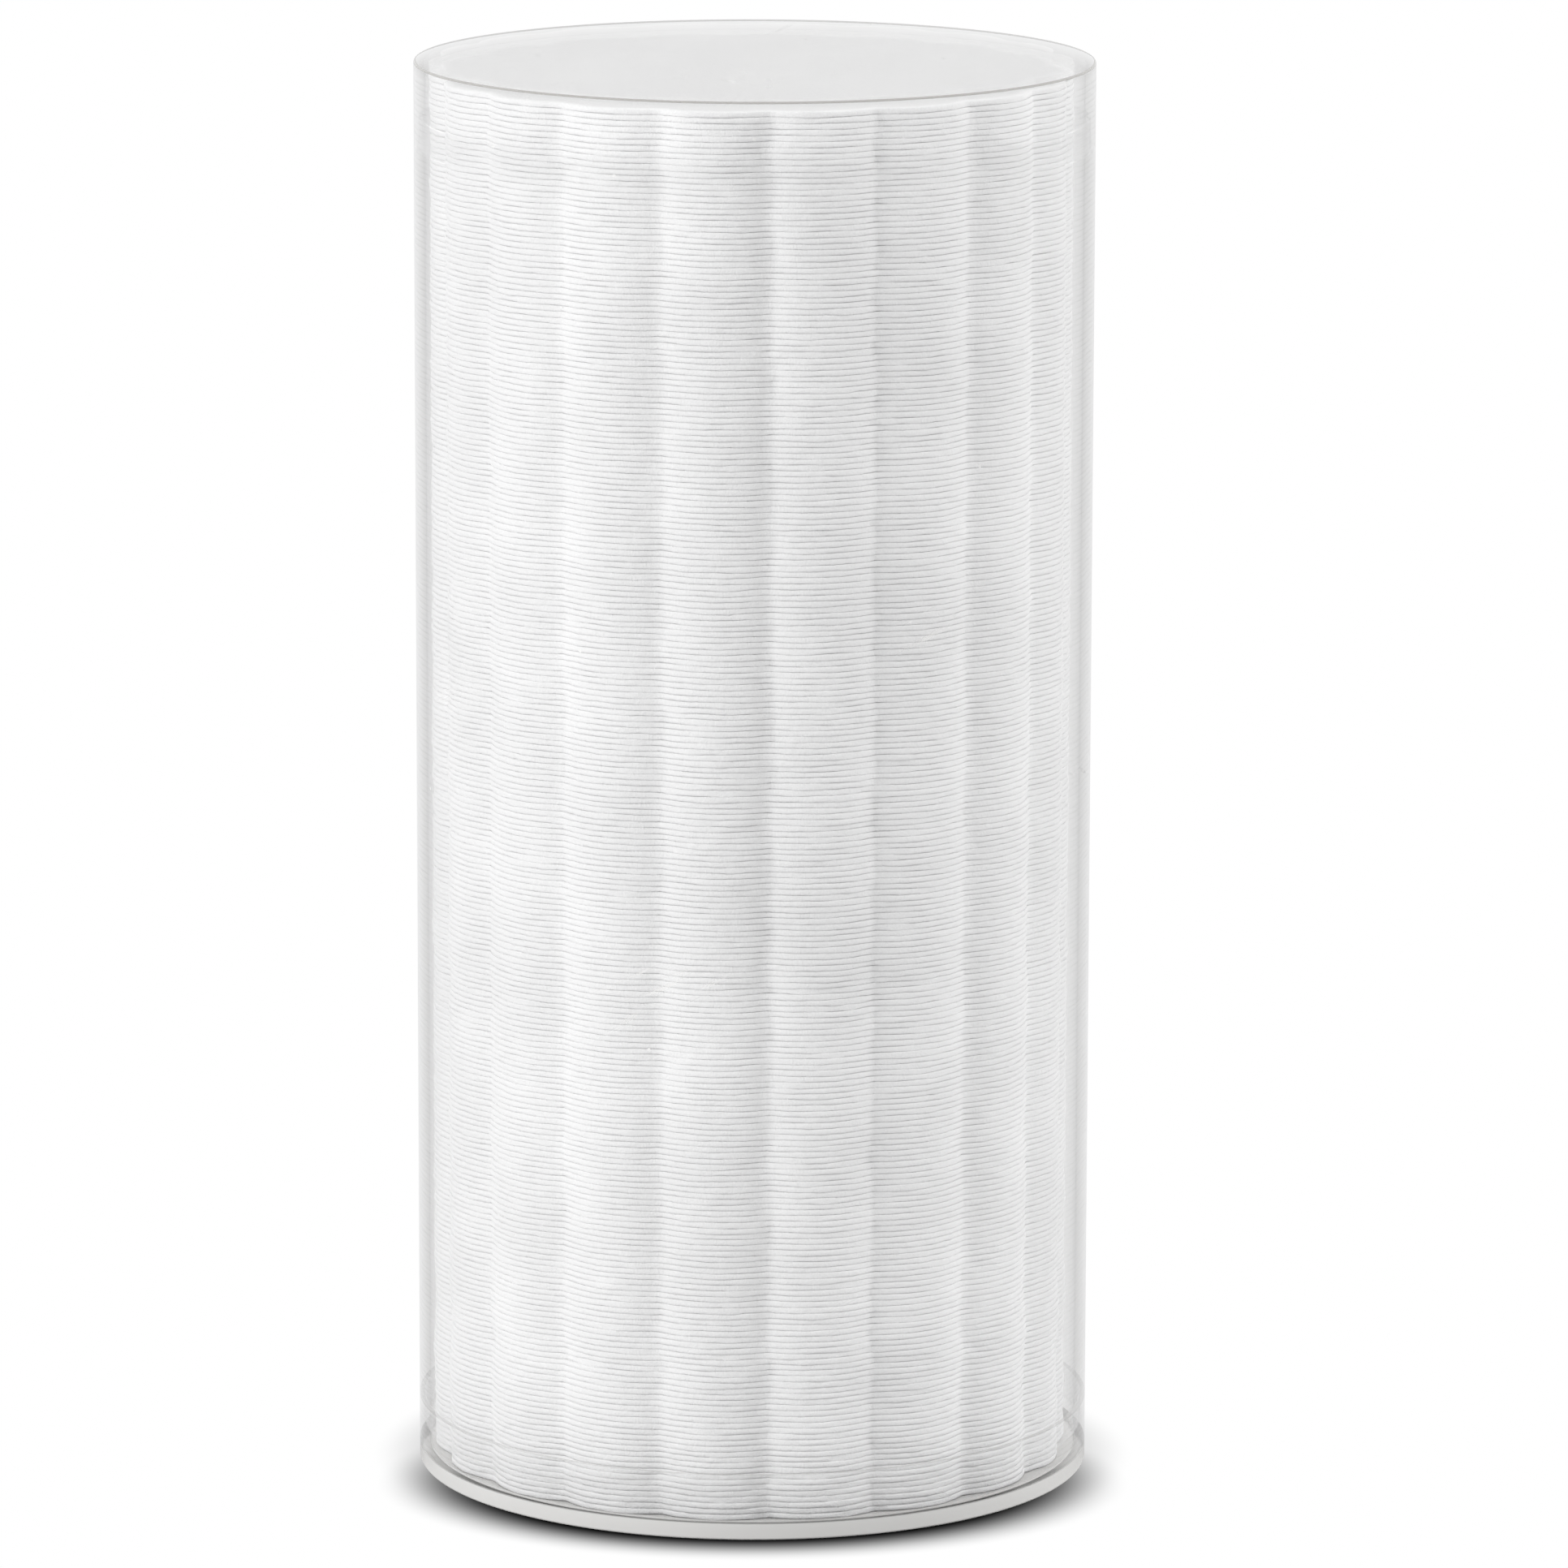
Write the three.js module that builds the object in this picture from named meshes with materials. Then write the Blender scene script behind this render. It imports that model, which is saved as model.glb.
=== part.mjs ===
// A clear canister of tissue coasters: a tube between a base cap and a push-on lid, filled with
// one stack of scalloped discs. Millimetres, +Z up. The origin is the centre of the underside,
// so the canister stands on Z = 0. The lid lifts straight up, off the neck of the tube.
import * as THREE from "three";

// Coasters: soft embossed tissue discs with a scalloped edge, lying flat on each other.
const coasterDiameter = 90; // across the crests of the scallops
const coasterCount = 240;
const coasterPitch = 0.82; // from one coaster to the next
const coasterAir = 0.03; // of that pitch, the air between two embossed faces
const scallopCount = 18;
const scallopDepth = 1.7; // from a crest in to a valley
const valleyDirection = -86.8; // degrees from +X to one of the valleys
const stackShift = 0.35; // how far the loose stack stands off centre, towards -X

// The top coasters are single discs, and those under them are joined into blocks.
const singleCount = 10;
const blockCount = 10;

// Canister: base cap, tube and lid are flush outside and lap over each other at both seams.
const boreClearance = 1.1; // between a crest and the bore, all round
const lipWall = 0.7; // outer lap: the lid's skirt and the base cap's rim
const neckWall = 0.7; // inner lap: the necks at the two ends of the tube
const lapGap = 0.1; // between the two laps
const lapDepth = 4; // how far each neck reaches past its seam, into the other piece
const seamGap = 0.05; // at the two seams, where the outside shows a fine line
const seatGap = 0.1; // between the end of a neck and the step that it meets
const floorThickness = 2;
const plateThickness = 1.2; // the flat top of the lid
const headroom = 0.55; // between the top coaster and the lid
const skirtDepth = 12; // from the top of the lid down to its seam
const rimHeight = 9.3; // from the underside up to the base cap's seam
const edgeRadius = 0.3; // outer corners at the top and the underside

const ringSegments = 96;
const edgeSegments = 3;

const coasterRadius = coasterDiameter / 2;
const boreRadius = coasterRadius + boreClearance;
const neckRadius = boreRadius + neckWall;
const lipRadius = neckRadius + lapGap;
const outerRadius = lipRadius + lipWall;

const stackTop = floorThickness + coasterCount * coasterPitch;
const plateUnderside = stackTop + headroom;
const canisterHeight = plateUnderside + plateThickness;
const lidSeam = canisterHeight - skirtDepth;

const clearPlastic = { color: 0xe9eeee, roughness: 0.08, metalness: 0, transparent: true };
const lidFinish = new THREE.MeshStandardMaterial({ ...clearPlastic, opacity: 0.3 });
const tubeFinish = new THREE.MeshStandardMaterial({ ...clearPlastic, opacity: 0.22 });
const baseFinish = new THREE.MeshStandardMaterial({ ...clearPlastic, opacity: 0.3 });
const tissueFinish = new THREE.MeshStandardMaterial({ color: 0xf4f4f2, roughness: 0.95, metalness: 0 });

// Turns a profile of (radius, height) points about the vertical axis.
function turned(profile) {
  const geometry = new THREE.LatheGeometry(profile, ringSegments);
  return geometry.rotateX(Math.PI / 2);
}

function point(radius, height) {
  return new THREE.Vector2(radius, height);
}

// Points of a rounded outer corner, from one angle to the other about (radius, height).
function roundedEdge(radius, height, fromAngle, toAngle) {
  const arc = new THREE.EllipseCurve(
    radius, height, edgeRadius, edgeRadius, fromAngle, toAngle, toAngle < fromAngle,
  );
  return arc.getPoints(edgeSegments);
}

function makeTube() {
  const bottom = rimHeight - lapDepth + seatGap;
  const top = lidSeam + lapDepth - seatGap;
  const profile = [
    point(boreRadius, bottom),
    point(neckRadius, bottom),
    point(neckRadius, rimHeight + seamGap),
    point(outerRadius, rimHeight + seamGap),
    point(outerRadius, lidSeam - seamGap),
    point(neckRadius, lidSeam - seamGap),
    point(neckRadius, top),
    point(boreRadius, top),
    point(boreRadius, bottom),
  ];
  const tube = new THREE.Mesh(turned(profile), tubeFinish);
  tube.name = "tube";
  return tube;
}

function makeBaseCap() {
  const edge = outerRadius - edgeRadius;
  const profile = [
    point(0, 0),
    ...roundedEdge(edge, edgeRadius, -Math.PI / 2, 0),
    point(outerRadius, rimHeight),
    point(lipRadius, rimHeight),
    point(lipRadius, rimHeight - lapDepth),
    point(boreRadius, rimHeight - lapDepth),
    point(boreRadius, floorThickness),
    point(0, floorThickness),
  ];
  const cap = new THREE.Mesh(turned(profile), baseFinish);
  cap.name = "base_cap";
  return cap;
}

// The lid's own zero is the top of its plate.
function makeLid() {
  const edge = outerRadius - edgeRadius;
  const profile = [
    point(0, -plateThickness),
    point(boreRadius, -plateThickness),
    point(boreRadius, lapDepth - skirtDepth),
    point(lipRadius, lapDepth - skirtDepth),
    point(lipRadius, -skirtDepth),
    point(outerRadius, -skirtDepth),
    ...roundedEdge(edge, -edgeRadius, 0, Math.PI / 2),
    point(0, 0),
  ];
  const lid = new THREE.Mesh(turned(profile), lidFinish);
  lid.name = "lid";
  lid.position.z = canisterHeight;
  return lid;
}

// Outline of one coaster: equal arcs that bulge outwards and meet in the valleys.
function coasterOutline() {
  const halfStep = Math.PI / scallopCount;
  const valleyRadius = coasterRadius - scallopDepth;
  // An arc centred this far out passes through a crest and through the valleys beside it.
  const arcCentre =
    (coasterRadius ** 2 - valleyRadius ** 2) /
    (2 * (coasterRadius - valleyRadius * Math.cos(halfStep)));
  const arcRadius = coasterRadius - arcCentre;
  const arcReach = Math.atan2(
    valleyRadius * Math.sin(halfStep),
    valleyRadius * Math.cos(halfStep) - arcCentre,
  );
  const outline = new THREE.Shape();
  for (let scallop = 0; scallop < scallopCount; scallop++) {
    const crest = THREE.MathUtils.degToRad(valleyDirection) + halfStep * (2 * scallop + 1);
    outline.absarc(
      arcCentre * Math.cos(crest), arcCentre * Math.sin(crest), arcRadius,
      crest - arcReach, crest + arcReach, false,
    );
  }
  return outline;
}

const outline = coasterOutline();

// The coasters from first to last, counted from the bottom of the stack, as one solid.
function makeCoasters(first, last) {
  const height = (last - first + 1) * coasterPitch - coasterAir;
  const geometry = new THREE.ExtrudeGeometry(outline, {
    depth: height, bevelEnabled: false, curveSegments: 2,
  });
  const coasters = new THREE.Mesh(geometry, tissueFinish);
  const digits = (number) => String(number).padStart(3, "0");
  coasters.name = first === last
    ? "coaster_" + digits(first)
    : "coasters_" + digits(first) + "_to_" + digits(last);
  coasters.position.z = (first - 1) * coasterPitch;
  return coasters;
}

function makeStack() {
  const stack = new THREE.Group();
  const joined = coasterCount - singleCount;
  for (let first = 1; first <= joined; first += blockCount) {
    stack.add(makeCoasters(first, Math.min(first + blockCount - 1, joined)));
  }
  for (let number = joined + 1; number <= coasterCount; number++) {
    stack.add(makeCoasters(number, number));
  }
  stack.position.set(-stackShift, 0, floorThickness + coasterAir);
  return stack;
}

const canister = new THREE.Group();
canister.add(makeBaseCap(), makeTube(), makeStack(), makeLid());

export default canister;
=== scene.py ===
# %% [markdown]
# # A clear canister of tissue coasters
# The object is a clear plastic tube between a base cap and a push-on lid. It holds 240 white
# coasters, which are soft discs of pressed tissue with a scalloped edge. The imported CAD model
# is the frame: it says where each piece goes and how large it is, and everything here is
# measured from it. This lesson builds the fine surfaces around it, in metres.

# %% Load the frame
import math

import bpy
import numpy as np
from mathutils import Matrix, Vector


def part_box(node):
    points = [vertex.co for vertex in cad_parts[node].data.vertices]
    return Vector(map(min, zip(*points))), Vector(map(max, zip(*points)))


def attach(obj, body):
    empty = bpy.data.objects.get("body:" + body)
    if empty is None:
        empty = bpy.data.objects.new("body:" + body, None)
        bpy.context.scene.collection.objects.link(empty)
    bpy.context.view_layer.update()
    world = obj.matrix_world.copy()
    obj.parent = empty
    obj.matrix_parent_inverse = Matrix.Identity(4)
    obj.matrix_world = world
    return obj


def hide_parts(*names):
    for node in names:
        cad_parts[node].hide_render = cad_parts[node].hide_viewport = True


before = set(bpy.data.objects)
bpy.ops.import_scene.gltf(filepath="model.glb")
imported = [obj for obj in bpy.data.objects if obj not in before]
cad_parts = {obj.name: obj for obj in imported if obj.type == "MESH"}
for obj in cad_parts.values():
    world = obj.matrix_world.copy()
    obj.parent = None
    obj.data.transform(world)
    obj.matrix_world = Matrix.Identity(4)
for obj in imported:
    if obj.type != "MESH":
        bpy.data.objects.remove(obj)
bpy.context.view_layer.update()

MM = 0.001
scene = bpy.context.scene

# %% [markdown]
# ## The camera
# The camera comes first, because it decides how much detail a surface needs. It stands in
# front of the canister and a little above the lid, far away, with a long lens: the sides of
# the canister stay nearly parallel and only the lid's top shows as a narrow ellipse.

# %% Make the camera
CAMERA_PLACE = (0.0, -1.3509, 0.3653)
LOOK_DOWN = 11.2124  # degrees below the horizon
LOOK_RIGHT = 0.1829  # degrees from +Y towards +X
ROLL = 0.1425  # degrees
LENS_MM = 223.44  # on a sensor 36 mm wide


def camera_axes(down, right, roll):
    """The camera's right, up and back directions. Forward is (sin r cos d, cos r cos d, -sin d)
    for a tilt d down and a turn r to the right, and the roll turns the other two about it."""
    d, r, t = (math.radians(angle) for angle in (down, right, roll))
    forward = Vector((math.sin(r) * math.cos(d), math.cos(r) * math.cos(d), -math.sin(d)))
    level = forward.cross(Vector((0, 0, 1))).normalized()
    above = level.cross(forward)
    side = math.cos(t) * level + math.sin(t) * above
    up = math.cos(t) * above - math.sin(t) * level
    return side, up, -forward


camera_data = bpy.data.cameras.new("camera")
camera_data.lens = LENS_MM
camera_data.sensor_width = 36.0
camera = bpy.data.objects.new("camera", camera_data)
scene.collection.objects.link(camera)
turn = Matrix(camera_axes(LOOK_DOWN, LOOK_RIGHT, ROLL)).transposed()
camera.matrix_world = Matrix.Translation(CAMERA_PLACE) @ turn.to_4x4()
scene.camera = camera
print("camera at", CAMERA_PLACE, "lens", LENS_MM)

# %% [markdown]
# ## The sizes
# Radii and heights are read from the CAD pieces' own corners, so each size is written down
# only once, in the CAD model.

# %% Read the sizes


def steps_of(node):
    """The different radii and the different heights of a turned CAD piece, lowest first."""
    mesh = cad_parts[node].data
    corners = np.empty(len(mesh.vertices) * 3, np.float32)
    mesh.vertices.foreach_get("co", corners)
    x, y, z = corners.reshape(-1, 3).T / MM
    return np.unique(np.round(np.hypot(x, y), 2)) * MM, np.unique(np.round(z, 2)) * MM


tube_radii, tube_heights = steps_of("tube")
lid_radii, lid_heights = steps_of("lid")
base_radii, base_heights = steps_of("base_cap")
bore_radius, neck_radius, outer_radius = tube_radii
lip_radius = lid_radii[2]
tube_bottom, foot_shoulder, neck_shoulder, tube_top = tube_heights
lid_seam, lid_step, plate_underside = lid_heights[:3]
base_floor, base_step, base_seam = base_heights[-3:]
lid_top = lid_heights[-1]
coaster_nodes = sorted(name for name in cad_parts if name.startswith("coaster"))
stack_low = min(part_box(name)[0].z for name in coaster_nodes)
stack_high = max(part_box(name)[1].z for name in coaster_nodes)
stack_boxes = [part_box(name) for name in coaster_nodes]
stack_x = np.mean([(low.x + high.x) / 2 for low, high in stack_boxes])
print("bore, neck, lip, outside mm:", np.round(np.r_[tube_radii, lip_radius] / MM, 2))
print("stack mm:", stack_low / MM, stack_high / MM, "centre", stack_x / MM)

# %% [markdown]
# ## Grids of points
# Nearly every piece here is a grid: rows that follow a profile, columns that go round the Z
# axis. A row of the grid is one ring. The faces of such a grid are always the same four-corner
# pattern, so one helper makes them for any piece, and closes the two ends with a fan of
# triangles round a pole, or joins the last row to the first for a hollow ring.

# %% Turn a grid into a mesh


def grid_faces(rows, columns, poles):
    """Corner numbers of one solid's faces. Row i and column j meet at corner i * columns + j.
    With poles, two more corners close the first and the last row; without, the rows close."""
    row = np.arange(rows - 1 if poles else rows)[:, None]
    column = np.arange(columns)[None, :]
    after, beyond = (column + 1) % columns, (row + 1) % rows
    corners = (
        row * columns + column,
        row * columns + after,
        beyond * columns + after,
        beyond * columns + column,
    )
    quads = np.stack(np.broadcast_arrays(*corners), -1).reshape(-1, 4)
    if not poles:
        return quads, np.empty((0, 3), int)
    j, k = column[0], after[0]
    first_pole, last_pole = rows * columns, rows * columns + 1
    last_row = (rows - 1) * columns
    low_fan = np.stack([np.full(columns, first_pole), k, j], -1)
    high_fan = np.stack([np.full(columns, last_pole), last_row + j, last_row + k], -1)
    return quads, np.concatenate([low_fan, high_fan])


def solids_mesh(name, grids, poles=None):
    """One mesh of several equal solids. grids is (solids, rows, columns, 3) and poles is
    (solids, 2, 3). Each solid's corner numbers follow those of the solid before it."""
    solids, rows, columns, _ = grids.shape
    points = grids.reshape(solids, -1, 3)
    if poles is not None:
        points = np.concatenate([points, poles], 1)
    quads, fans = grid_faces(rows, columns, poles is not None)
    first = (np.arange(solids) * points.shape[1])[:, None, None]
    faces = (quads + first).reshape(-1, 4).tolist() + (fans + first).reshape(-1, 3).tolist()
    mesh = bpy.data.meshes.new(name)
    mesh.from_pydata(points.reshape(-1, 3), [], faces)
    mesh.shade_smooth()
    piece = bpy.data.objects.new(name, mesh)
    scene.collection.objects.link(piece)
    return piece


# %% [markdown]
# ## Smooth randomness
# Hand-stacked paper is never regular. A sum of a few cosines round the disc, each with its own
# random phase, gives an edge that wanders smoothly and closes on itself. One generator with a
# fixed seed feeds everything, so the stack is the same on every run.

# %% Random waves
random = np.random.default_rng(20)


def waves(count, angles, slowest, fastest, size):
    """count random closed curves over the angles: the sum of cosines with slowest to fastest
    periods per turn, each 1/sqrt(period) as high, scaled so that the usual height is size."""
    periods = np.arange(slowest, fastest + 1)
    height = random.normal(size=(count, len(periods))) / np.sqrt(periods)
    phase = random.uniform(0, 2 * np.pi, (count, len(periods)))
    curves = np.cos(periods[:, None] * angles + phase[:, :, None]) * height[:, :, None]
    return curves.sum(1) * size / np.sqrt((1 / periods).sum() / 2)


def drift(values, memory):
    """Makes each row remember the one below it: row = memory * row before + the rest new, so
    neighbouring coasters share their waves."""
    fresh = math.sqrt(1 - memory**2)
    for row in range(1, len(values)):
        values[row] = memory * values[row - 1] + fresh * values[row]
    return values


# %% [markdown]
# ## The outline of a coaster
# The edge is a ring of 18 equal arcs that bulge outwards and meet in valleys. A list of points
# round one scallop would do, but a formula gives the distance for any angle at once: seen from
# the disc's centre, an arc of radius a, centred c out, lies c cos(p) + sqrt(a^2 - c^2 sin^2(p))
# away, where p is the angle from the arc's own crest. The tissue tears softly, so the sharp
# valley is rounded a little.

# %% Distance to the scalloped edge
SCALLOPS = 18
CREST_RADIUS = 45.0 * MM
SCALLOP_DEPTH = 1.7 * MM
VALLEY_DIRECTION = math.radians(-86.8)
VALLEY_SOFTNESS = math.radians(0.45)


def edge_distance(angles):
    """The scalloped edge's distance from the disc's centre, at these angles."""
    half = math.pi / SCALLOPS
    valley = CREST_RADIUS - SCALLOP_DEPTH
    centre = (CREST_RADIUS**2 - valley**2) / (2 * (CREST_RADIUS - valley * math.cos(half)))
    arc = CREST_RADIUS - centre
    past_valley = (angles - VALLEY_DIRECTION) % (2 * half)
    from_valley = np.minimum(past_valley, 2 * half - past_valley)
    softened = np.hypot(from_valley, VALLEY_SOFTNESS)
    from_crest = half - np.minimum(softened, half)
    return centre * np.cos(from_crest) + np.sqrt(arc**2 - (centre * np.sin(from_crest)) ** 2)


# %% [markdown]
# ## The stack
# Each coaster could be one disc, copied 240 times, but then the stack would look machined. So
# the seams come first: a seam lies between two coasters, and all 241 of them, with the floor and
# the top, are heights round the edge. Each coaster fills exactly what its two seams leave. Where
# one is thick, the next gives way, and nothing overlaps. Slow waves are the dents that many
# coasters share, quick ones the crinkle of a single sheet. They die away at the floor and the top,
# because the lowest coaster lies flat.

# %% Heights of the seams
COASTER_COUNT = 240
COLUMNS = SCALLOPS * 14  # points in one ring
DENT, DENT_MEMORY = 0.055 * MM, 0.75  # usual height, and how much of it the next seam keeps
CRINKLE, CRINKLE_MEMORY = 0.028 * MM, 0.45
FRAY = 0.014 * MM
SEAM_LIMIT = 0.16 * MM

around = VALLEY_DIRECTION + np.arange(COLUMNS) * 2 * np.pi / COLUMNS
pitch = (stack_high - stack_low) / COASTER_COUNT

seams = drift(waves(COASTER_COUNT + 1, around, 1, 9, DENT), DENT_MEMORY)
seams += drift(waves(COASTER_COUNT + 1, around, 10, 40, CRINKLE), CRINKLE_MEMORY)
seams += waves(COASTER_COUNT + 1, around, 41, 120, FRAY)
uneven = np.sin(np.linspace(0, np.pi, COASTER_COUNT + 1)) ** 0.25
seams = np.clip(seams, -SEAM_LIMIT, SEAM_LIMIT) * uneven[:, None]
seams += (stack_low + np.arange(COASTER_COUNT + 1) * pitch)[:, None]
thinnest = np.diff(seams, axis=0).min()
print("coaster pitch mm", pitch / MM, "thinnest edge mm", thinnest / MM)

# %% [markdown]
# A hand drops each coaster a hair off centre and a hair turned, and its neighbours follow it. The
# edge is ragged, and the press has pinched it more in some places than in others.

# %% Shift and turn of each coaster
SHIFT = 0.07 * MM
TWIST = math.radians(0.22)
STACK_MEMORY = 0.6
RAGGED = 0.045 * MM
PINCH, PINCH_LEAST, PINCH_MOST = 0.6, -0.8, 1.3  # change of the groove's depth, as a share

shift = drift(random.normal(size=(COASTER_COUNT, 2)) * SHIFT, STACK_MEMORY)
twist = drift(random.normal(size=(COASTER_COUNT, 1)) * TWIST, STACK_MEMORY)
ragged = waves(COASTER_COUNT, around, 12, 120, RAGGED)
pinch = 1 + np.clip(waves(COASTER_COUNT, around, 14, 120, PINCH), PINCH_LEAST, PINCH_MOST)
print("largest shift mm", np.abs(shift).max() / MM, "twist deg", np.degrees(np.abs(twist).max()))

# %% [markdown]
# ### The bead and the faces of a coaster
# Across its rim a coaster is a flattened half round: at the angle t from the middle of the bead,
# the edge draws back by depth * (1 - cos t)^1.5 and stands half the thickness * sin t above the
# middle. The power keeps the bead nearly upright and makes the groove between two beads narrow.
# From there a flat face runs in to the centre, where a fan of triangles closes it.

# %% Grid of some coasters
GROOVE_DEPTH = 0.22 * MM
BEAD_STEPS = 7
AIR = 0.012 * MM  # left between the faces of two coasters
FACE_SHARE = 0.965  # of the way out, where the plain face ends and the pressed rim begins


def coaster_grids(numbers):
    """Points of some coasters, counted from 0 at the bottom: one ring of the lower face, the
    rings of the bead from below to above, and one ring of the upper face. A point stands at
    centre + radius * (cos, sin) of its angle, and the bead's radius and height are as above."""
    low, high = seams[numbers] + AIR / 2, seams[numbers + 1] - AIR / 2
    middle, half = (low + high) / 2, (high - low) / 2
    turned = around + twist[numbers]
    edge = edge_distance(around) + ragged[numbers]
    depth = GROOVE_DEPTH * pinch[numbers]
    tilt = np.linspace(-np.pi / 2, np.pi / 2, BEAD_STEPS)[:, None, None]
    bead_out = edge - depth * (1 - np.cos(tilt)) ** 1.5
    bead_up = middle + half * np.sin(tilt)
    inner = ((edge - depth) * FACE_SHARE)[None]
    radius = np.concatenate([inner, bead_out, inner])
    height = np.concatenate([low[None], bead_up, high[None]])
    x = stack_x + shift[numbers, :1] + radius * np.cos(turned)
    y = shift[numbers, 1:] + radius * np.sin(turned)
    grids = np.stack([x, y, height], -1).transpose(1, 0, 2, 3)
    centre = np.stack([stack_x + shift[numbers, 0], shift[numbers, 1]], -1)
    poles = np.stack([np.c_[centre, low.mean(1)], np.c_[centre, high.mean(1)]], 1)
    return grids, poles


def numbers_in(node):
    """The coasters that a CAD node holds, counted from 0: its name ends with one or two of
    them, counted from 1."""
    counted = [int(word) for word in node.split("_") if word.isdigit()]
    return np.arange(counted[0] - 1, counted[-1])


def mark_rim(mesh, solids):
    """Writes the attribute rim: 1 on the rings of the bead and 0 on the faces and the poles."""
    face, bead, pole_pair = np.zeros(COLUMNS), np.ones(BEAD_STEPS * COLUMNS), np.zeros(2)
    one = np.concatenate([face, bead, face, pole_pair])
    rim = mesh.attributes.new("rim", "FLOAT", "POINT")
    rim.data.foreach_set("value", np.tile(one, solids).astype(np.float32))


# %% Stack of coasters
coasters = {}
for node in coaster_nodes:
    grids, poles = coaster_grids(numbers_in(node))
    coasters[node] = solids_mesh("tissue_" + node.split("_", 1)[1], grids, poles)
    mark_rim(coasters[node].data, len(grids))
print(len(coasters), "pieces,", sum(len(c.data.polygons) for c in coasters.values()), "faces")

# %% [markdown]
# ## The clear mouldings
# Base cap, tube and lid are turned shapes: a profile of square corners, each rounded by a small
# arc, is carried round the axis. A row close to each end of an arc keeps the flat faces beside
# it flat under smooth shading, which matters on clear plastic, because it shows every bend.

# %% Round a profile and turn it
TURN_COLUMNS = 256
ARC_STEPS = 5
GUARD = 0.04 * MM  # from the end of an arc to the row that keeps the flat beside it flat


def rounded(corners, roundings):
    """Replaces each right-angled corner of a closed profile by a quarter circle: points at
    centre - r (cos t * way out - sin t * way in), with one guard point beyond each end."""
    corners = np.asarray(corners, float)
    way_in = corners - np.roll(corners, 1, 0)
    way_out = np.roll(corners, -1, 0) - corners
    way_in /= np.linalg.norm(way_in, axis=1)[:, None]
    way_out /= np.linalg.norm(way_out, axis=1)[:, None]
    r = np.asarray(roundings)[:, None, None]
    centre = corners[:, None] + r * (way_out - way_in)[:, None]
    t = np.linspace(0, np.pi / 2, ARC_STEPS)[None, :, None]
    arc = centre - r * (np.cos(t) * way_out[:, None] - np.sin(t) * way_in[:, None])
    before = arc[:, :1] - GUARD * way_in[:, None]
    after = arc[:, -1:] + GUARD * way_out[:, None]
    return np.concatenate([before, arc, after], 1).reshape(-1, 2)


def turn_profile(profile):
    """(radius cos a, radius sin a, height) for each profile point and each angle a."""
    a = np.arange(TURN_COLUMNS) * 2 * np.pi / TURN_COLUMNS
    radius, height = profile[:, :1], profile[:, 1:]
    return np.stack([radius * np.cos(a), radius * np.sin(a), height + 0 * a], -1)[None]


def axis_poles(low, high):
    """The two poles of a turned shape: points on the axis, at these heights."""
    return np.array([[[0, 0, low], [0, 0, high]]])


# %% [markdown]
# ### Tube
# The tube is a plain wall with a thinner neck at each end. Its corners are nearly sharp, as on
# any thin moulding, so that no bright line runs round the seams.

# %% Tube
TUBE_EDGE = 0.03 * MM
tube_profile = rounded(
    [
        (bore_radius, tube_bottom),
        (neck_radius, tube_bottom),
        (neck_radius, foot_shoulder),
        (outer_radius, foot_shoulder),
        (outer_radius, neck_shoulder),
        (neck_radius, neck_shoulder),
        (neck_radius, tube_top),
        (bore_radius, tube_top),
    ],
    [TUBE_EDGE] * 8,
)
tube = solids_mesh("clear_tube", turn_profile(tube_profile))
print("tube", len(tube.data.polygons), "faces")

# %% [markdown]
# ### Base cap and lid
# The two caps are the same kind of shape, a plate with a skirt, and the lid is the wrong way
# up. Their profiles end on the axis, so the row of a closed ring there would be wasted: the
# profile is rounded as a closed one and the two corners on the axis become the poles.

# %% Base cap and lid
OUTER_EDGE = 0.3 * MM
SEAM_EDGE = 0.03 * MM
BASE_FILLET = 0.3 * MM
LID_FILLET = 0.5 * MM


def cap(name, plate_outside, plate_inside, step, seam, fillet):
    """A plate from plate_outside to plate_inside, with a skirt as thick as the tube down to the
    step and half as thick from there to the seam. fillet rounds the corner inside."""
    profile = rounded(
        [
            (0, plate_outside),
            (outer_radius, plate_outside),
            (outer_radius, seam),
            (lip_radius, seam),
            (lip_radius, step),
            (bore_radius, step),
            (bore_radius, plate_inside),
            (0, plate_inside),
        ],
        [0, OUTER_EDGE, SEAM_EDGE, SEAM_EDGE, SEAM_EDGE, SEAM_EDGE, fillet, 0],
    )
    skirt = profile[profile[:, 0] > MM]  # all but the two corners on the axis
    if plate_outside > seam:
        skirt = skirt[::-1]
    ends = (skirt[0, 1], skirt[-1, 1])
    return solids_mesh(name, turn_profile(skirt), axis_poles(*ends))


base_cap = cap("clear_base_cap", 0.0, base_floor, base_step, base_seam, BASE_FILLET)
lid = cap("clear_lid", lid_top, plate_underside, lid_step, lid_seam, LID_FILLET)
print("base cap and lid", len(base_cap.data.polygons), len(lid.data.polygons), "faces")

# %% [markdown]
# ## Materials
# There are two kinds of finish: pressed tissue, and clear plastic in three variants for the
# tube, the base cap and the lid. Effects that change over a surface and serve more than one
# material live in node groups with named values. The shader itself stays in the material.

# %% Helpers for nodes
FIRST_COLOUR, SECOND_COLOUR, MIXED_COLOUR = 6, 7, 2  # places of a Mix node's colour sockets


def set_inputs(tree, node, links):
    """Links each named input to a socket, or gives it a value."""
    for label, source in links.items():
        if isinstance(source, bpy.types.NodeSocket):
            tree.links.new(source, node.inputs[label])
        else:
            node.inputs[label].default_value = source


def add(tree, kind, links=None, **values):
    """A new node of that kind, with its own settings from values and its inputs from links."""
    node = tree.nodes.new("ShaderNode" + kind)
    for label, value in values.items():
        setattr(node, label, value)
    set_inputs(tree, node, links or {})
    return node


def math_node(tree, operation, *terms):
    """operation on two or three numbers or sockets."""
    return add(tree, "Math", dict(enumerate(terms)), operation=operation).outputs[0]


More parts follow.
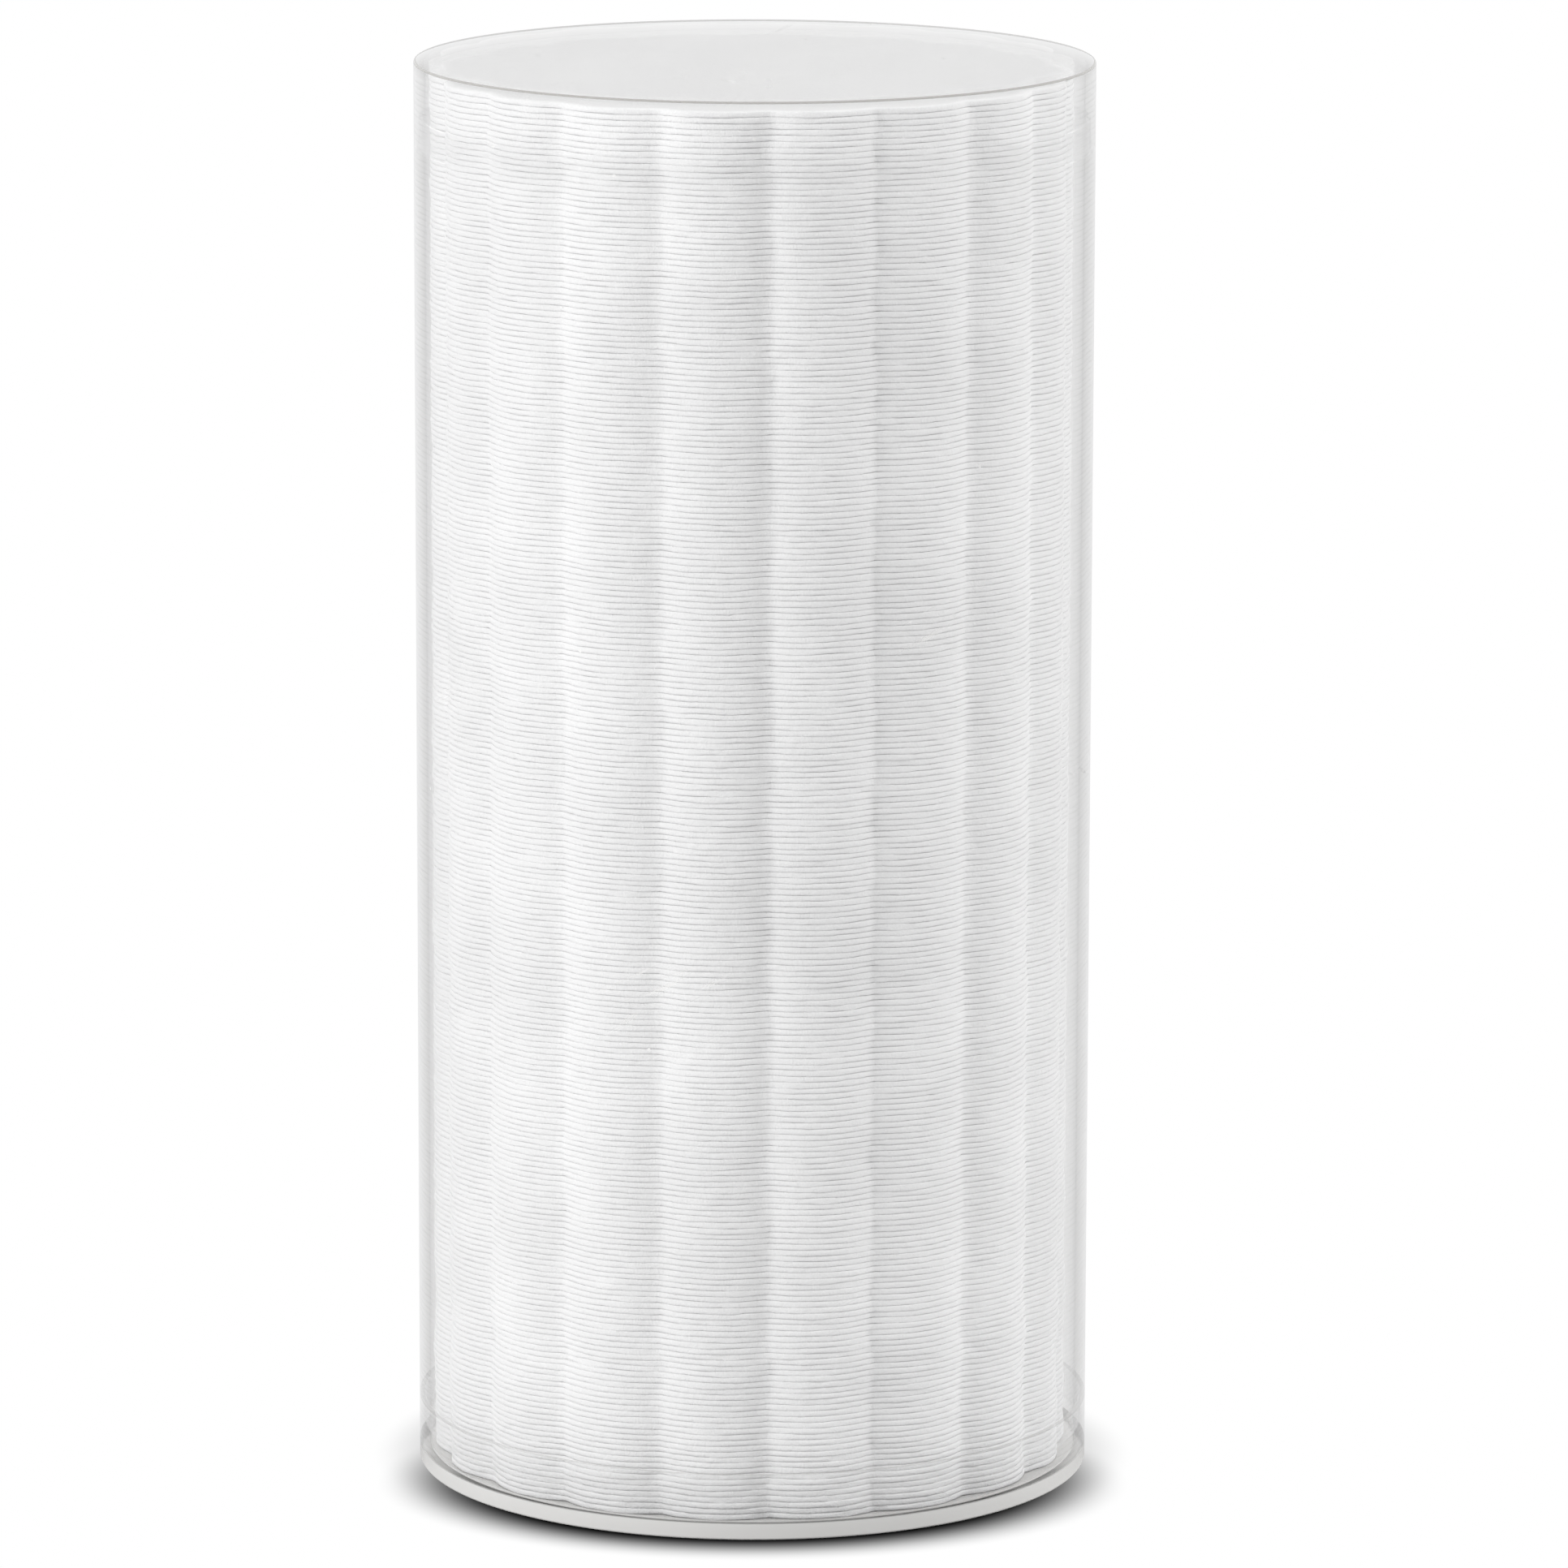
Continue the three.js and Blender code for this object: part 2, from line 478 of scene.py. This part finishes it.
def mix_colours(tree, share, first, second):
    """first * (1 - share) + second * share, for two colours or colour sockets."""
    node = add(tree, "Mix", {"Factor": share}, data_type="RGBA")
    for place, colour in ((FIRST_COLOUR, first), (SECOND_COLOUR, second)):
        if isinstance(colour, bpy.types.NodeSocket):
            tree.links.new(colour, node.inputs[place])
        else:
            node.inputs[place].default_value = (*colour, 1)
    return node.outputs[MIXED_COLOUR]


def mix_shaders(tree, share, first, second):
    """The shader first where share is 0, and the shader second where it is 1."""
    return add(tree, "MixShader", {0: share, 1: first, 2: second}).outputs[0]


def new_group(name, inputs):
    """A shader node group with these inputs, {name: (kind, default)}, and one output, Mask. Its
    tree comes with its input sockets and its output node."""
    group = bpy.data.node_groups.new(name, "ShaderNodeTree")
    for label, (kind, value) in inputs.items():
        socket = group.interface.new_socket(label, in_out="INPUT", socket_type="NodeSocket" + kind)
        if value is not None:
            socket.default_value = value
    group.interface.new_socket("Mask", in_out="OUTPUT", socket_type="NodeSocketFloat")
    return group, group.nodes.new("NodeGroupInput").outputs, group.nodes.new("NodeGroupOutput")


def use_group(tree, group, links):
    """The mask of a group, placed in the material's tree with these inputs."""
    node = tree.nodes.new("ShaderNodeGroup")
    node.node_tree = group
    set_inputs(tree, node, links)
    return node.outputs["Mask"]


def new_material(name):
    """An empty node material, and its output node."""
    material = bpy.data.materials.new(name)
    material.use_nodes = True
    tree = material.node_tree
    tree.nodes.clear()
    return material, tree, tree.nodes.new("ShaderNodeOutputMaterial")


# %% [markdown]
# ### Scratches
# Handling leaves hair-fine lines that run one way in a patch and are missing elsewhere. A noise
# pattern, stretched along one direction, gives ridges. Only their crests are kept, and only where
# a second, slower noise rises above the rarity.

# %% Group of fine scratches
HAIR_SCALE, PATCH_SCALE = 100.0, 26.0  # per metre
CREST_START, CREST_FULL = 0.67, 0.71
PATCH_EDGE = 0.06

scratches, given, result = new_group("fine_scratches", {
    "Vector": ("Vector", None),
    "Turn": ("Vector", (0, 0, 0)),
    "Stretch": ("Vector", (1, 1, 1)),
    "Rarity": ("Float", 0.7),
})
turned = add(scratches, "Mapping", {"Vector": given["Vector"], "Rotation": given["Turn"]})
longer = add(
    scratches, "VectorMath", {0: turned.outputs[0], 1: given["Stretch"]}, operation="MULTIPLY"
)
hairs = add(
    scratches, "TexNoise", {"Vector": longer.outputs[0], "Scale": HAIR_SCALE, "Detail": 1.0}
)
crest = add(scratches, "MapRange", {0: hairs.outputs["Fac"], 1: CREST_START, 2: CREST_FULL})
patch = add(
    scratches, "TexNoise", {"Vector": given["Vector"], "Scale": PATCH_SCALE, "Detail": 1.0}
)
patch_full = math_node(scratches, "ADD", given["Rarity"], PATCH_EDGE)
allowed = add(scratches, "MapRange", {0: patch.outputs["Fac"], 1: given["Rarity"], 2: patch_full})
kept = math_node(scratches, "MULTIPLY", crest.outputs[0], allowed.outputs[0])
scratches.links.new(kept, result.inputs["Mask"])
print("group", scratches.name, len(scratches.nodes), "nodes")

# %% [markdown]
# ### Dust
# A Voronoi pattern scatters points. A small dot is kept round those few whose random colour falls
# below the share.

# %% Group of dust
dust, given, result = new_group("dust", {
    "Vector": ("Vector", None),
    "Cells": ("Float", 300.0),
    "Size": ("Float", 0.1),
    "Share": ("Float", 0.1),
})
dots = add(dust, "TexVoronoi", {"Vector": given["Vector"], "Scale": given["Cells"]})
inside = math_node(dust, "LESS_THAN", dots.outputs["Distance"], given["Size"])
chance = add(dust, "SeparateColor", {0: dots.outputs["Color"]}).outputs[0]
chosen = math_node(dust, "LESS_THAN", chance, given["Share"])
dust.links.new(math_node(dust, "MULTIPLY", inside, chosen), result.inputs["Mask"])
print("group", dust.name, len(dust.nodes), "nodes")

# %% [markdown]
# ### Tissue
# Pressed tissue is a matt white with a slow cloud in it, where the fibres lie thicker, and a
# surface of fine fibres and small dents. The bead of the rim is whiter than the flat face, partly
# because it is pressed denser and partly as painted light: a brighter lit rim, and a darker top
# face under the lamp above. The mesh carries the rim's share as the attribute `rim`.

# %% Tissue
CLOUD_SCALE, DENT_SCALE, FIBRE_SCALE = 60.0, 500.0, 4200.0  # per metre
RELIEF = 0.14 * MM


def noise(tree, place, scale, detail):
    """A noise from 0 to 1, with about scale waves per metre."""
    return add(tree, "TexNoise", {"Vector": place, "Scale": scale, "Detail": detail}).outputs["Fac"]


def tissue_material():
    """Base colour: mix(face, rim colour, rim), each between two whites by cloud + fibre, with the
    face darker and the rim whiter, partly as painted light and shade. Bump height: fibre + dents."""
    material, tree, output = new_material("pressed_tissue")
    place = add(tree, "TexCoord").outputs["Object"]
    cloud = noise(tree, place, CLOUD_SCALE, 3.0)
    fibre = noise(tree, place, FIBRE_SCALE, 3.0)
    dents = noise(tree, place, DENT_SCALE, 2.0)
    grain = math_node(tree, "ADD", cloud, fibre)
    share = add(tree, "MapRange", {0: grain, 1: 0.6, 2: 1.4}).outputs[0]
    # The face is darker and the rim bead whiter: partly denser pressing, partly painted shade on
    # the top face and painted light on the rim.
    plain_shaded_face = mix_colours(tree, share, (0.75, 0.75, 0.751), (0.83, 0.83, 0.831))
    pressed_lit_rim = mix_colours(tree, share, (0.82, 0.82, 0.821), (0.94, 0.94, 0.941))
    rim = add(tree, "Attribute", attribute_name="rim").outputs["Fac"]
    height = math_node(tree, "ADD", fibre, dents)
    bump = add(tree, "Bump", {"Height": height, "Strength": 0.8, "Distance": RELIEF})
    shader = add(tree, "BsdfPrincipled", {
        "Base Color": mix_colours(tree, rim, plain_shaded_face, pressed_lit_rim),
        "Normal": bump.outputs["Normal"],
        "Roughness": 0.95,
        "Specular IOR Level": 0.2,
    })
    tree.links.new(shader.outputs[0], output.inputs["Surface"])
    return material


tissue = tissue_material()
for piece in coasters.values():
    piece.data.materials.append(tissue)
print("tissue on", len(coasters), "pieces")

# %% [markdown]
# ### Clear plastic
# A wall this thin and even bends hardly any light that one can see. It only mirrors at a flat
# angle and greys what is seen along it. A shader that bends light at each of its two faces would
# spend many bounces inside the wall and show black rings there. So the outside of a wall lets the
# view straight through, except for the Fresnel share, which falls on glass, and from inside the
# plastic everything passes.
#
# Scratches, dust and the milky floor of the base cap are a pale haze, and a line of painted shade
# at the lid's top edge and at the base cap's seam is a dark haze, all with their masks as Alpha.
# Lamps and soft bounces pass freely, and a weak grey absorption darkens the long way through the
# wall at the two sides.

# %% Masks of the haze
SCRATCH_HAZE, DUST_HAZE, MILK_HAZE = 0.30, 0.75, 0.93  # how solid each one is
SCRATCH_TURN, SCRATCH_STRETCH = (0.0, 0.5, 0.3), (1.0, 1.0, 9.0)
DUST_CELLS, DUST_SIZE = 420.0, 0.09
MILKY_FADE = 0.3 * MM


def edge_mask(tree, place, height, inwards, upwards):
    """1 near the circle at the outer radius and that height, and 0 elsewhere: the distance is
    at most inwards from the outer wall, and at most upwards from the height."""
    parts = add(tree, "SeparateXYZ", {0: place}).outputs
    level = add(tree, "CombineXYZ", {"X": parts["X"], "Y": parts["Y"]}).outputs[0]
    radius = add(tree, "VectorMath", {0: level}, operation="LENGTH").outputs["Value"]
    near_wall = math_node(tree, "COMPARE", radius, outer_radius, inwards)
    near_edge = math_node(tree, "COMPARE", parts["Z"], height, upwards)
    return math_node(tree, "MULTIPLY", near_wall, near_edge)


def milky_mask(tree, place, milky_below):
    """1 below that height, and 0 from MILKY_FADE above it."""
    height = add(tree, "SeparateXYZ", {0: place}).outputs["Z"]
    end = milky_below + MILKY_FADE
    return add(tree, "MapRange", {0: height, 1: milky_below, 2: end, 3: 1.0, 4: 0.0}).outputs[0]


# %% Haze, glass and what lets light pass
# The second tone is the dark of the lines of painted shade, and the milky plastic leans a little to
# it.
PALE_HAZE, DARK_HAZE = (0.86, 0.855, 0.84), (0.34, 0.33, 0.31)
MILK_SHADE = 0.12  # how far the milky plastic leans to the darker haze
PLASTIC_IOR = 1.5
PASSED = (0.97, 0.97, 0.97, 1)
SMOKE = (0.02, 0.01, 0.0, 1)


def haze_shader(tree, rarity, dust_share, edge, edge_haze, milky_below):
    """A rough pale surface, dark on the lines of painted shade, as solid as the strongest of its
    four masks.
    """
    place = add(tree, "TexCoord").outputs["Object"]
    scratched = use_group(tree, scratches, {
        "Vector": place, "Turn": SCRATCH_TURN, "Stretch": SCRATCH_STRETCH, "Rarity": rarity,
    })
    dusty = use_group(tree, dust, {
        "Vector": place, "Cells": DUST_CELLS, "Size": DUST_SIZE, "Share": dust_share,
    })
    # A dark line of painted shade near the outer wall at one height: the lid's top edge, the base
    # cap's seam.
    painted_dark_line = edge_mask(tree, place, *edge)
    milky = milky_mask(tree, place, milky_below)
    solid = math_node(tree, "MULTIPLY", scratched, SCRATCH_HAZE)
    for mask, share in ((dusty, DUST_HAZE), (painted_dark_line, edge_haze), (milky, MILK_HAZE)):
        solid = math_node(tree, "MAXIMUM", solid, math_node(tree, "MULTIPLY", mask, share))
    shaded = math_node(tree, "MULTIPLY", milky, MILK_SHADE)
    darker = math_node(tree, "MAXIMUM", shaded, painted_dark_line)
    tone = mix_colours(tree, darker, PALE_HAZE, DARK_HAZE)
    haze = add(tree, "BsdfPrincipled", {"Base Color": tone, "Roughness": 0.9, "Alpha": solid})
    return haze.outputs[0]


def glass_shader(tree):
    """Smooth glass, which carries the mirrored share of the light."""
    glass = add(tree, "BsdfPrincipled", {"Base Color": (1, 1, 1, 1), "Roughness": 0.0})
    set_inputs(tree, glass, {"Transmission Weight": 1.0, "IOR": PLASTIC_IOR})
    return glass.outputs[0]


def clear_material(name, smoke, **haze):
    """mix(haze, glass, Fresnel * seen from outside), open to lamps and to soft bounces. smoke is
    the absorption per metre, and haze what haze_shader needs."""
    material, tree, output = new_material(name)
    mirrored = add(tree, "Fresnel", {"IOR": PLASTIC_IOR}).outputs[0]
    inside = add(tree, "NewGeometry").outputs["Backfacing"]
    outside = math_node(tree, "SUBTRACT", 1.0, inside)
    share = math_node(tree, "MULTIPLY", mirrored, outside)
    surface = mix_shaders(tree, share, haze_shader(tree, **haze), glass_shader(tree))
    path = add(tree, "LightPath").outputs
    passed = add(tree, "BsdfTransparent", {"Color": PASSED}).outputs[0]
    for ray in ("Is Shadow Ray", "Is Diffuse Ray"):
        surface = mix_shaders(tree, path[ray], surface, passed)
    tree.links.new(surface, output.inputs["Surface"])
    grey = add(tree, "VolumeAbsorption", {"Color": SMOKE, "Density": smoke})
    tree.links.new(grey.outputs[0], output.inputs["Volume"])
    return material


# %% [markdown]
# The lid is handled most, so it has the most scratches and dust. Its rounded top edge carries a
# dark line of painted shade, where the clear rim looks dark. On the base cap a thin dark line of
# painted shade lies at the seam, for the seam's shadow on the paper, and its thick floor is milky.
# What a piece lacks is put at a height below the ground, where none of it is.

# %% Plastic of the tube, the base cap and the lid
NOWHERE = -MM
# The lid's rounded top edge, where a dark line of painted shade lies.
TOP_EDGE = (float(lid_top), OUTER_EDGE, OUTER_EDGE)
# The base cap's seam, where a thin dark line of painted shade stands for the seam's shadow on the
# paper.
SEAM_LINE = (float(base_seam), MM, 0.06 * MM)
MILKY_BELOW = float(base_floor) + 0.25 * MM

tube.data.materials.append(clear_material(
    "clear_tube", 23.0, rarity=0.66, dust_share=0.010,
    edge=(NOWHERE, 0, 0), edge_haze=0.0, milky_below=NOWHERE,
))
base_cap.data.materials.append(clear_material(
    "clear_base", 23.0, rarity=0.68, dust_share=0.020,
    edge=SEAM_LINE, edge_haze=0.22, milky_below=MILKY_BELOW,
))
lid.data.materials.append(clear_material(
    "clear_lid", 18.0, rarity=0.60, dust_share=0.030,
    edge=TOP_EDGE, edge_haze=0.75, milky_below=NOWHERE,
))
print("clear plastic on", [piece.name for piece in (tube, base_cap, lid)])

# %% [markdown]
# ## Put the pieces on the frame
# Each piece hangs from an empty for its CAD body, so it moves with that body, and the CAD node it
# replaces is hidden. Only the lid has a body of its own: it lifts off, and all the rest stays.

# %% Ride and replace
for node, piece in coasters.items():
    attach(piece, "canister")
    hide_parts(node)
for piece, body, node, slot in (
    (tube, "canister", "tube", "tube_plastic"),
    (base_cap, "canister", "base_cap", "base_plastic"),
    (lid, "lid", "lid", "lid_plastic"),
):
    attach(piece, body)
    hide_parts(node)

# %% [markdown]
# ## Floor
# A white floor runs out of sight. White plastic and clear walls would vanish against a white
# room, so the floor is white only for the camera, and a pale grey for every other ray: the
# mirrored and the bounced light then have something to show. The floor glows by itself, and its
# shade is painted: a dark soft ellipse that reaches out a little in front of the canister, and a
# paler ring round its foot.

# %% Floor
FLOOR_HALF = 12.0
FLOOR_DROP = 0.05 * MM
SHADE_CENTRE = -16 * MM
SHADE_HALF = (56 * MM, 44 * MM)
GREY_REACH = 0.4
LEFT_GREY, RIGHT_GREY = (0.80, 0.80, 0.81), (0.72, 0.72, 0.72)
WHITE = (1, 1, 1)

side = (-FLOOR_HALF, FLOOR_HALF)
corners = [(side[0], side[0]), (side[1], side[0]), (side[1], side[1]), (side[0], side[1])]
floor_mesh = bpy.data.meshes.new("floor")
floor_mesh.from_pydata([(x, y, -FLOOR_DROP) for x, y in corners], [], [(0, 1, 2, 3)])
floor = bpy.data.objects.new("floor", floor_mesh)
scene.collection.objects.link(floor)


def ring_of_shade(tree, place, centre, half, start, end, darkest):
    """A value that rises smoothly from darkest to 1 as the distance from centre, measured in
    halves of an ellipse, goes from start to end."""
    scale = (1 / half[0], 1 / half[1], 0)
    moved = (0, -centre / half[1], 0)
    mapped = add(tree, "Mapping", {"Vector": place, "Location": moved, "Scale": scale})
    far = add(tree, "VectorMath", {0: mapped.outputs[0]}, operation="LENGTH").outputs["Value"]
    ramp = {0: far, 1: start, 2: end, 3: darkest, 4: 1.0}
    return add(tree, "MapRange", ramp, interpolation_type="SMOOTHSTEP").outputs[0]


floor_finish, tree, output = new_material("floor_white")
place = add(tree, "TexCoord").outputs["Object"]
front = ring_of_shade(tree, place, SHADE_CENTRE, SHADE_HALF, 0.70, 0.96, 0.0)
foot = ring_of_shade(tree, place, 0, (outer_radius, outer_radius), 0.97, 1.15, 0.75)
shade = math_node(tree, "MULTIPLY", front, foot)
across = add(tree, "SeparateXYZ", {0: place}).outputs["X"]
rightwards = add(tree, "MapRange", {0: across, 1: -GREY_REACH, 2: GREY_REACH}).outputs[0]
grey = mix_colours(tree, rightwards, LEFT_GREY, RIGHT_GREY)
seen = add(tree, "LightPath").outputs["Is Camera Ray"]
glow = add(tree, "Emission", {"Color": mix_colours(tree, seen, grey, WHITE), "Strength": shade})
tree.links.new(glow.outputs[0], output.inputs["Surface"])
floor_mesh.materials.append(floor_finish)
floor_finish.cycles.emission_sampling = "NONE"
print("floor", 2 * FLOOR_HALF, "m across")

# %% [markdown]
# ## Sky and lamps
# The sky is even, again white for the camera and a little darker for the rest. A large lamp low
# on the left models the scallops, a narrow one on the right lifts their far sides, and one above
# and behind lights the lid. Light crosses many clear faces, so it gets many bounces.

# %% Sky and lamps
SKY_GREY = (0.90, 0.90, 0.90)
sky = bpy.data.worlds.new("pale_sky")
scene.world = sky
sky.use_nodes = True
sky_tree = sky.node_tree
sky_seen = add(sky_tree, "LightPath").outputs["Is Camera Ray"]
sky_colour = mix_colours(sky_tree, sky_seen, SKY_GREY, WHITE)
sky_tree.links.new(sky_colour, sky_tree.nodes["Background"].inputs["Color"])


def soft_lamp(name, place, aim, width, height, power):
    """A rectangular area lamp at place that points at aim."""
    data = bpy.data.lights.new(name, "AREA")
    data.shape = "RECTANGLE"
    data.size, data.size_y = width, height
    data.energy = power
    lamp = bpy.data.objects.new(name, data)
    lamp.location = place
    lamp.rotation_euler = (Vector(place) - Vector(aim)).to_track_quat("Z", "Y").to_euler()
    scene.collection.objects.link(lamp)
    return lamp


lamps = (
    soft_lamp("key_left", (-1.3, -0.75, 0.45), (0, 0, 0.1), 0.8, 1.4, 14.5),
    soft_lamp("fill_right", (1.4, 0.1, 0.5), (0, 0, 0.1), 0.4, 1.0, 8.5),
    soft_lamp("above_behind", (0.0, 0.9, 1.8), (0, 0, 0.2), 0.8, 0.8, 4.5),
)
print("lamps", [lamp.name for lamp in lamps])

# %% Picture settings
scene.view_settings.view_transform = "Standard"
scene.cycles.max_bounces = 24
scene.cycles.glossy_bounces = 16
scene.cycles.transmission_bounces = 16
scene.cycles.transparent_max_bounces = 24
